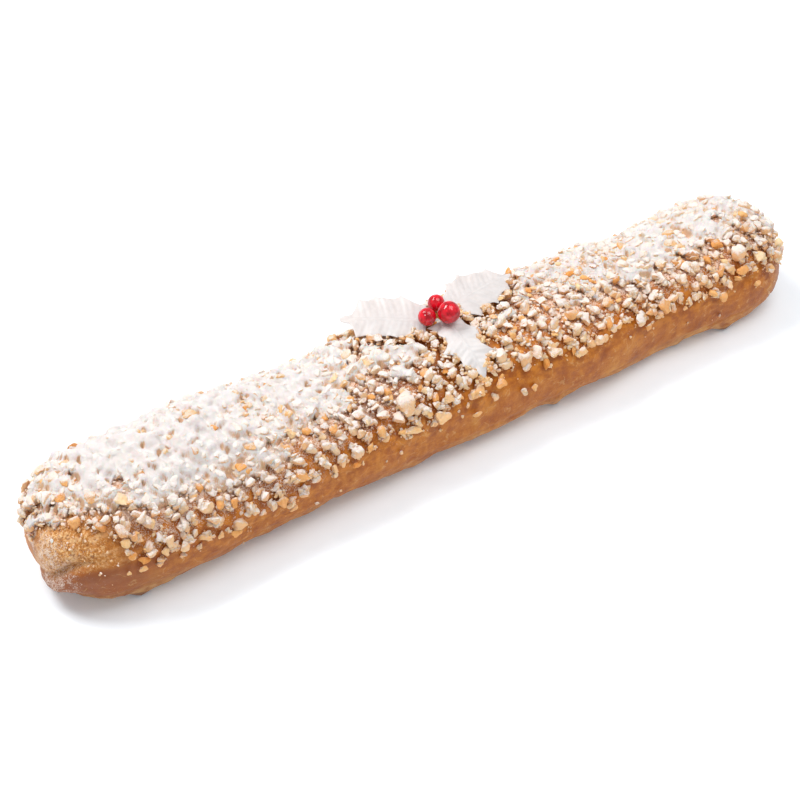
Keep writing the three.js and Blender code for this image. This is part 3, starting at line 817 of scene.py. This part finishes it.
material, shader, paint = finish_for(
    "roasted almond",
    Specular_IOR_Level=0.35,
    Subsurface_Weight=0.2,
    Subsurface_Scale=0.0015,
    Subsurface_Radius=(1.0, 0.6, 0.35),
)
fleck = paint.noise(1.3, 3, 0.6)
toasted = paint.reads("tone") * 0.75 + fleck * 0.5 - 0.12
facing_out = paint.node("NewGeometry", out=1)
level = paint.node("VectorMath", {"operation": "DOT_PRODUCT"}, out=1, i0=facing_out, i1=SUGAR_FALL_AND_LIGHT)
speck = (paint.noise(0.42, 2, 0.7, 0.4) - 0.5) * 2.2
small_drifts = (paint.noise(2.2, 2, 0.5, 0.6) - 0.5) * 1.2
drifts = small_drifts + (paint.noise(8.0, 2, 0.5, 0.3) - 0.5) * 1.6
sugar = paint.reads("sugar")
deep = paint.reads("deep")
almond_colour = paint.blend(sugar * 0.55, toasted.ramp(ALMOND_TONES), BLUSH)
fall = level.most(-0.2) + sugar * 0.9 + speck * 0.55 + drifts * 0.65 - 0.94
powder = fall.step(-0.2, 0.45) * (1 - deep * 0.9)
almond_colour = paint.blend(powder * (0.76 + sugar * 0.22), almond_colour, POWDER)
# Painted shade: the chips turn darker brown towards their undersides and where they lie sunk low.
almond_colour = paint.blend(deep * 0.6, almond_colour, PAINTED_SHADE_BROWN)
rough = 0.5 + powder * 0.4
fuzz = paint.noise(0.7, 3, 0.7, 0.1) + paint.noise(0.35, 1, 0.5, 0.8) * 0.4
bump = paint.node("Bump", Height=fuzz * (powder * 0.6 + 0.5), Strength=0.9, Distance=0.001)
connect(paint, shader, Base_Color=almond_colour, Roughness=rough, Normal=bump)


def scattered_chips(x, turn, near, small, large, lift):
    """What each scattered chip needs. It lies a little into the skin or stacked above it, with its thin
    side roughly outwards and its long side any way along the skin."""
    count = len(x)
    skin, out = roll_point(x, turn), roll_normal(x, turn)
    radius = small + (large - small) * draw.uniform(size=count) ** 1.5
    down = np.abs(turn - np.pi / 2)
    stacked = draw.uniform(*lift, count) * np.clip(1.1 - down / 2.2, 0.3, 1)
    stacked += near * np.clip(down - 0.3, 0.2, 0.8)
    thin = out + draw.normal(0, 0.42, (count, 3))
    long = np.cross(thin, draw.normal(size=(count, 3)))
    sides = np.stack([np.ones(count), draw.uniform(0.62, 0.95, count), draw.uniform(0.5, 0.78, count)], 1)
    tone = draw.beta(1.4, 1.9, count)
    cover = sugar_cover(skin, np.interp(x, (-70, 50), (66, 48)))
    sugar = cover * draw.uniform(0.8, 1.15, count) - 0.6 * (draw.uniform(size=count) < 0.1)
    spot = skin + out * (radius * 0.25 + stacked)[:, None]
    lie = dict(spot=spot, out=out, stacked=stacked, thin=thin, long=long)
    return dict(lie, radius=radius, sides=sides, tone=tone, sugar=sugar)


def notable_chips():
    """The same for the pieces that stand out. They lie flat, with their long side across or upward."""
    x, down, half_wide, half_high, tone, sugar = NOTABLE.T
    turn = down + np.pi / 2
    skin, out = roll_point(x, turn), roll_normal(x, turn)
    longer, slim = np.maximum(half_wide, half_high), np.minimum(half_wide, half_high)
    ratio = slim / longer
    along = np.where((half_wide > half_high)[:, None], ACROSS, UPWARD)
    return dict(
        spot=skin + out * (slim * 0.45 + 0.9)[:, None],
        out=out,
        radius=longer,
        stacked=np.ones(len(x)),
        thin=out + draw.normal(0, 0.12, out.shape),
        long=along - out * (out * along).sum(1, keepdims=True),
        sides=np.stack([np.ones(len(x)), ratio, np.minimum(0.75, ratio * 0.8)], 1),
        tone=tone,
        sugar=sugar - 0.12,
    )


almond_tops, almond_bare = [], []
for kind_number, (kind, (count, small, large, corners, lift, strays)) in enumerate(ALMONDS.items()):
    x, turn, near = even_spots(count, small / SKIN_RADIUS, strays, 50 + kind_number)
    chips = scattered_chips(x, turn, near, small, large, lift)
    if kind == "almond_chunks":
        # The pieces that stand out join this kind, and the other chunks leave them room.
        aside = (turn[:, None] - np.pi / 2 - NOTABLE[:, 1]) * ROLL_HALF_WIDTH
        free = np.hypot(x[:, None] - NOTABLE[:, 0], aside).min(1) > NOTABLE_ROOM
        notable = notable_chips()
        chips = {key: np.concatenate([values[free], notable[key]]) for key, values in chips.items()}
    radius, out = chips["radius"], chips["out"]
    thin = unit(chips["thin"])
    wide = unit(np.cross(thin, chips["long"]))
    long = np.cross(wide, thin)
    turned = np.stack([long, wide, thin], 1) * (chips["sides"] * radius[:, None])[..., None]
    spots, blocked = around_leaves(chips["spot"], radius * 0.7)
    blocked |= np.abs(spots[:, 0]) + radius * 0.7 > ROLL_LENGTH / 2 + 0.6

    # Every chip takes one of the shapes. The chips of a kind are one mesh.
    shapes, chip_faces = chip_shapes(corners, 70 + kind_number)
    which = draw.integers(len(shapes), size=len(spots))
    kept = np.flatnonzero(~blocked)
    kept = kept[np.argsort(which[kept], kind="stable")]
    offset = np.einsum("nvk,nkc->nvc", shapes[which[kept]], turned[kept])
    points = (offset + spots[kept][:, None]).reshape(-1, 3)
    faces = (np.arange(len(kept))[:, None, None] * corners + chip_faces).reshape(-1, 3)
    piece = make_piece(kind, points, [faces])
    piece.data.set_sharp_from_angle(angle=CHIP_SHARP)
    sugar = np.repeat(chips["sugar"][kept], corners)
    low = np.clip(-np.einsum("nvc,nc->nv", offset, out[kept]) / radius[kept][:, None], 0, 1)
    sunk = np.clip(1 - chips["stacked"][kept] / 1.2, 0, 1)
    give(piece, "tone", np.repeat(chips["tone"][kept], corners))
    give(piece, "sugar", sugar)
    # deep is painted shade, strongest on each chip's underside and on chips that lie sunk low.
    give(piece, "deep", np.clip(low * 0.9 + sunk[:, None] * 0.25, 0, 1))
    piece.data.materials.append(material)
    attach(piece, "root")
    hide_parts("pastry_log")
    almond_tops.append(points)
    almond_bare.append(sugar < 0.33)


# ---- The icing sugar ----
# Powder sieved from above: it softens the almonds and fills the hollows between them along the left
# half of the top, and lies in patches further right.

SUGAR_CELL = 0.49
SUGAR_DEPTH = 2.2
SUGAR_WIDTH = 60
LEAF_UNDERSIDE = 39.8
SUGAR_WHITES = (0.80, 0.745, 0.72), (0.87, 0.825, 0.805)
# The last colour stands for almond showing through thin sugar on steep sides, and is painted shade in the
# dips between drifts.
PORE, ALMOND_AND_SHADE = (0.78, 0.60, 0.50), (0.72, 0.39, 0.18)
columns, rows = int(ROLL_LENGTH / SUGAR_CELL), int(SUGAR_WIDTH / SUGAR_CELL)
grid = [(np.arange(n) - (n - 1) / 2) * SUGAR_CELL for n in (columns, rows)]


def neighbours(field):
    """The field and its eight neighbours, one step away."""
    padded = np.pad(field, 1, mode="edge")
    high, wide = field.shape
    return np.stack([padded[a : a + high, b : b + wide] for a in range(3) for b in range(3)])


def seen_from_above(points):
    """Height of the highest point over each place of the grid, lent to its neighbours a little lower."""
    field = np.full((columns, rows), -20.0)
    last = np.array((columns - 1, rows - 1))
    spot = np.clip(np.round(points[:, :2] / SUGAR_CELL + last / 2).astype(int), 0, last)
    np.maximum.at(field, tuple(spot.T), points[:, 2])
    return np.maximum(field, neighbours(field).max(0) - 0.3)


# Heights of the almonds and skin, of the almonds that stay bare, and two softened copies of the first.
almonds = np.concatenate(almond_tops)
height = seen_from_above(np.concatenate([almonds, roll_skin.reshape(-1, 3)]))
bare_height = seen_from_above(almonds[np.concatenate(almond_bare)])
near = neighbours(height).mean(0)
far = neighbours(near).mean(0)
for _ in range(4):
    far = neighbours(far).mean(0)
ground = np.stack([*np.meshgrid(*grid, indexing="ij"), near], -1)
cover = sugar_cover(ground, 37)

# The sugar's surface follows the softened heights, higher where more fell, with small drifts of its own.
# It lies close on what it covers, fills hollows where it is thick, and leaves bare pieces and leaves free.
drift = near * 0.6 + far * 0.4 + (cover - 0.9) * 2.2
drift += 0.6 * lumps(ground, 3.0, 60) + 0.25 * lumps(ground, 1.5, 61) + 0.15 * lumps(ground, 0.9, 62)
drift = np.minimum(drift, height + 0.2 + 2.6 * np.clip(cover - 0.7, 0, 1))
drift = np.where(bare_height > height - 0.3, np.minimum(drift, height - 0.6), drift)
for leaf in LEAVES.values():
    base, length, along, side, _ = leaf_axes(leaf)
    away = ground - base
    u, out = away @ along / length, away @ side
    under = (u > -0.1) & (u < 1.05) & (np.abs(out) < 12.5)
    drift = np.where(under, np.minimum(drift, LEAF_UNDERSIDE), drift)

# It is kept where enough fell, not far down between the almonds, and on ground that isn't too steep.
slope = np.hypot(*np.gradient(far, SUGAR_CELL))
steep = np.hypot(*np.gradient(drift, SUGAR_CELL))
enough = np.interp(ground[..., 0], (-150, -140, -75, -30, 40, 60), (0.62, 0.5, 0.52, 0.74, 0.74, 0.64))
keep = (drift > height - 1.6) & (cover > enough) & (slope < 1.5) & (steep < 6) & (far > 14)
cell = keep[:-1, :-1] & keep[1:, :-1] & keep[:-1, 1:] & keep[1:, 1:]
cell = neighbours(cell).sum(0) >= 5
cell[[0, -1]] = cell[:, [0, -1]] = False
quads = cell_faces(np.arange(columns * rows).reshape(columns, rows)[:-1, :-1][cell], rows)
# Walls close the sheet wherever a covered cell has an uncovered neighbour.
walls = []
for shift, axis, a, b in ((-1, 0, 1, 2), (1, 0, 3, 0), (-1, 1, 2, 3), (1, 1, 0, 1)):
    open_side = (cell & ~np.roll(cell, shift, axis))[cell]
    walls.append(quads[open_side][:, [a, b]])
walls = np.concatenate(walls)
used = np.unique(quads)
renumber = np.zeros(columns * rows, int)
renumber[used] = np.arange(len(used))
quads, walls = renumber[quads], renumber[walls]
top_skin = np.concatenate([ground[..., :2], drift[..., None]], -1).reshape(-1, 3)[used]
sugar_points = np.concatenate([top_skin, top_skin - (0, 0, SUGAR_DEPTH)])
wall_faces = np.concatenate([walls[:, ::-1], walls + len(used)], -1)
blanket = make_piece("icing_sugar", sugar_points, [quads, quads[:, ::-1] + len(used), wall_faces])
# hollow is high in dips below the softened surroundings, on steep sides and on the walls and underside; the
# material paints these almond brown, partly as painted shade.
hollow = np.clip((far - drift) / 1.6, 0, 1) + np.clip(steep / 2.2 - 0.35, 0, 1)
give(blanket, "hollow", np.concatenate([hollow.ravel()[used], np.ones(len(used))]))

material, shader, paint = finish_for(
    "icing sugar",
    Roughness=0.85,
    Specular_IOR_Level=0.25,
    Subsurface_Weight=0.25,
    Subsurface_Scale=0.001,
)
tint = paint.noise(4.5, 3)
sugar_colour = paint.blend(tint.step(0.35, 0.7), *SUGAR_WHITES)
powdery = paint.noise(0.5, 3, 0.7)
# Dips and steep sides are painted almond brown: almond showing through thin sugar, and painted shade in the
# dips.
almond_and_shade_share = (paint.reads("hollow") + (powdery - 0.5) * 0.9).step(0.3, 1.0)
pores = paint.noise(0.45, 2, 0.6, 0.2).step(0.52, 0.66)
sugar_colour = paint.blend(pores * 0.15, sugar_colour, PORE)
sugar_colour = paint.blend(almond_and_shade_share * 0.8, sugar_colour, ALMOND_AND_SHADE)
bump = paint.node("Bump", Height=powdery, Strength=0.9, Distance=0.001)
connect(paint, shader, Base_Color=sugar_colour, Normal=bump)
blanket.data.materials.append(material)
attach(blanket, "root")


# ---- The table, the light and the camera ----
# A white ground in even light: two soft windows behind the log, and a larger lamp over its right end.
# None of it belongs to the part.

WORLD_LIGHT = 0.52
AIM = Vector((0, 0, 0.02))  # the middle of the log, in metres

bpy.ops.mesh.primitive_plane_add(size=8)
table = bpy.context.object
table.name = "table"
material, *_ = finish_for(
    "lit white table",
    Base_Color=(0.90, 0.94, 0.98, 1),
    Roughness=0.9,
    Specular_IOR_Level=0.1,
    Emission_Color=(0.68, 0.85, 1, 1),
    Emission_Strength=0.1,
)
table.data.materials.append(material)

world = bpy.data.worlds.new("studio")
bpy.context.scene.world = world
world.use_nodes = True
world.node_tree.nodes["Background"].inputs["Color"].default_value = (1, 1, 1, 1)
world.node_tree.nodes["Background"].inputs["Strength"].default_value = WORLD_LIGHT


def soft_light(name, place, size, power):
    """A square lamp, its place and side in metres and its power in watts, aimed at the log."""
    light = bpy.data.lights.new(name, "AREA")
    light.size, light.energy = size, power
    lamp = bpy.data.objects.new(name, light)
    bpy.context.collection.objects.link(lamp)
    lamp.location = place
    lamp.rotation_euler = (Vector(place) - AIM).to_track_quat("Z", "Y").to_euler()


soft_light("window_left", (-0.5, 0.44, 0.98), 0.34, 5.2)
soft_light("window_right", (-0.24, 0.6, 1.03), 0.34, 5.2)
soft_light("overhead", (0.3, -0.2, 1.05), 0.7, 6.0)

# The camera looks down with the log's right end swung away, from 80 cm. The middle of the log lies a
# little right of and above the middle of the picture. Focal length, picture and shift are in pixels.
DISTANCE, DIP, SENSOR = 0.8, math.radians(44), 36
FOCUS, IMAGE, SHIFT_RIGHT, SHIFT_UP = 2145.3, 800, 25.6, 22.0
right = Vector(ACROSS)
back = Vector((-math.cos(DIP) * math.sin(SWING), -math.cos(DIP) * math.cos(SWING), math.sin(DIP)))
upward = back.cross(right)
forward = (-back - right * (SHIFT_RIGHT / FOCUS) - upward * (SHIFT_UP / FOCUS)).normalized()
right = (right - forward * right.dot(forward)).normalized()
upward = right.cross(forward)
lens = bpy.data.cameras.new("camera")
lens.sensor_width, lens.lens = SENSOR, SENSOR * FOCUS / IMAGE
lens.clip_start, lens.clip_end = 0.01, 50
camera = bpy.data.objects.new("camera", lens)
bpy.context.collection.objects.link(camera)
turned = Matrix((right, upward, -forward)).transposed().to_4x4()
camera.matrix_world = Matrix.Translation(AIM + back * DISTANCE) @ turned
bpy.context.scene.camera = camera
bpy.context.scene.view_settings.view_transform = "Standard"
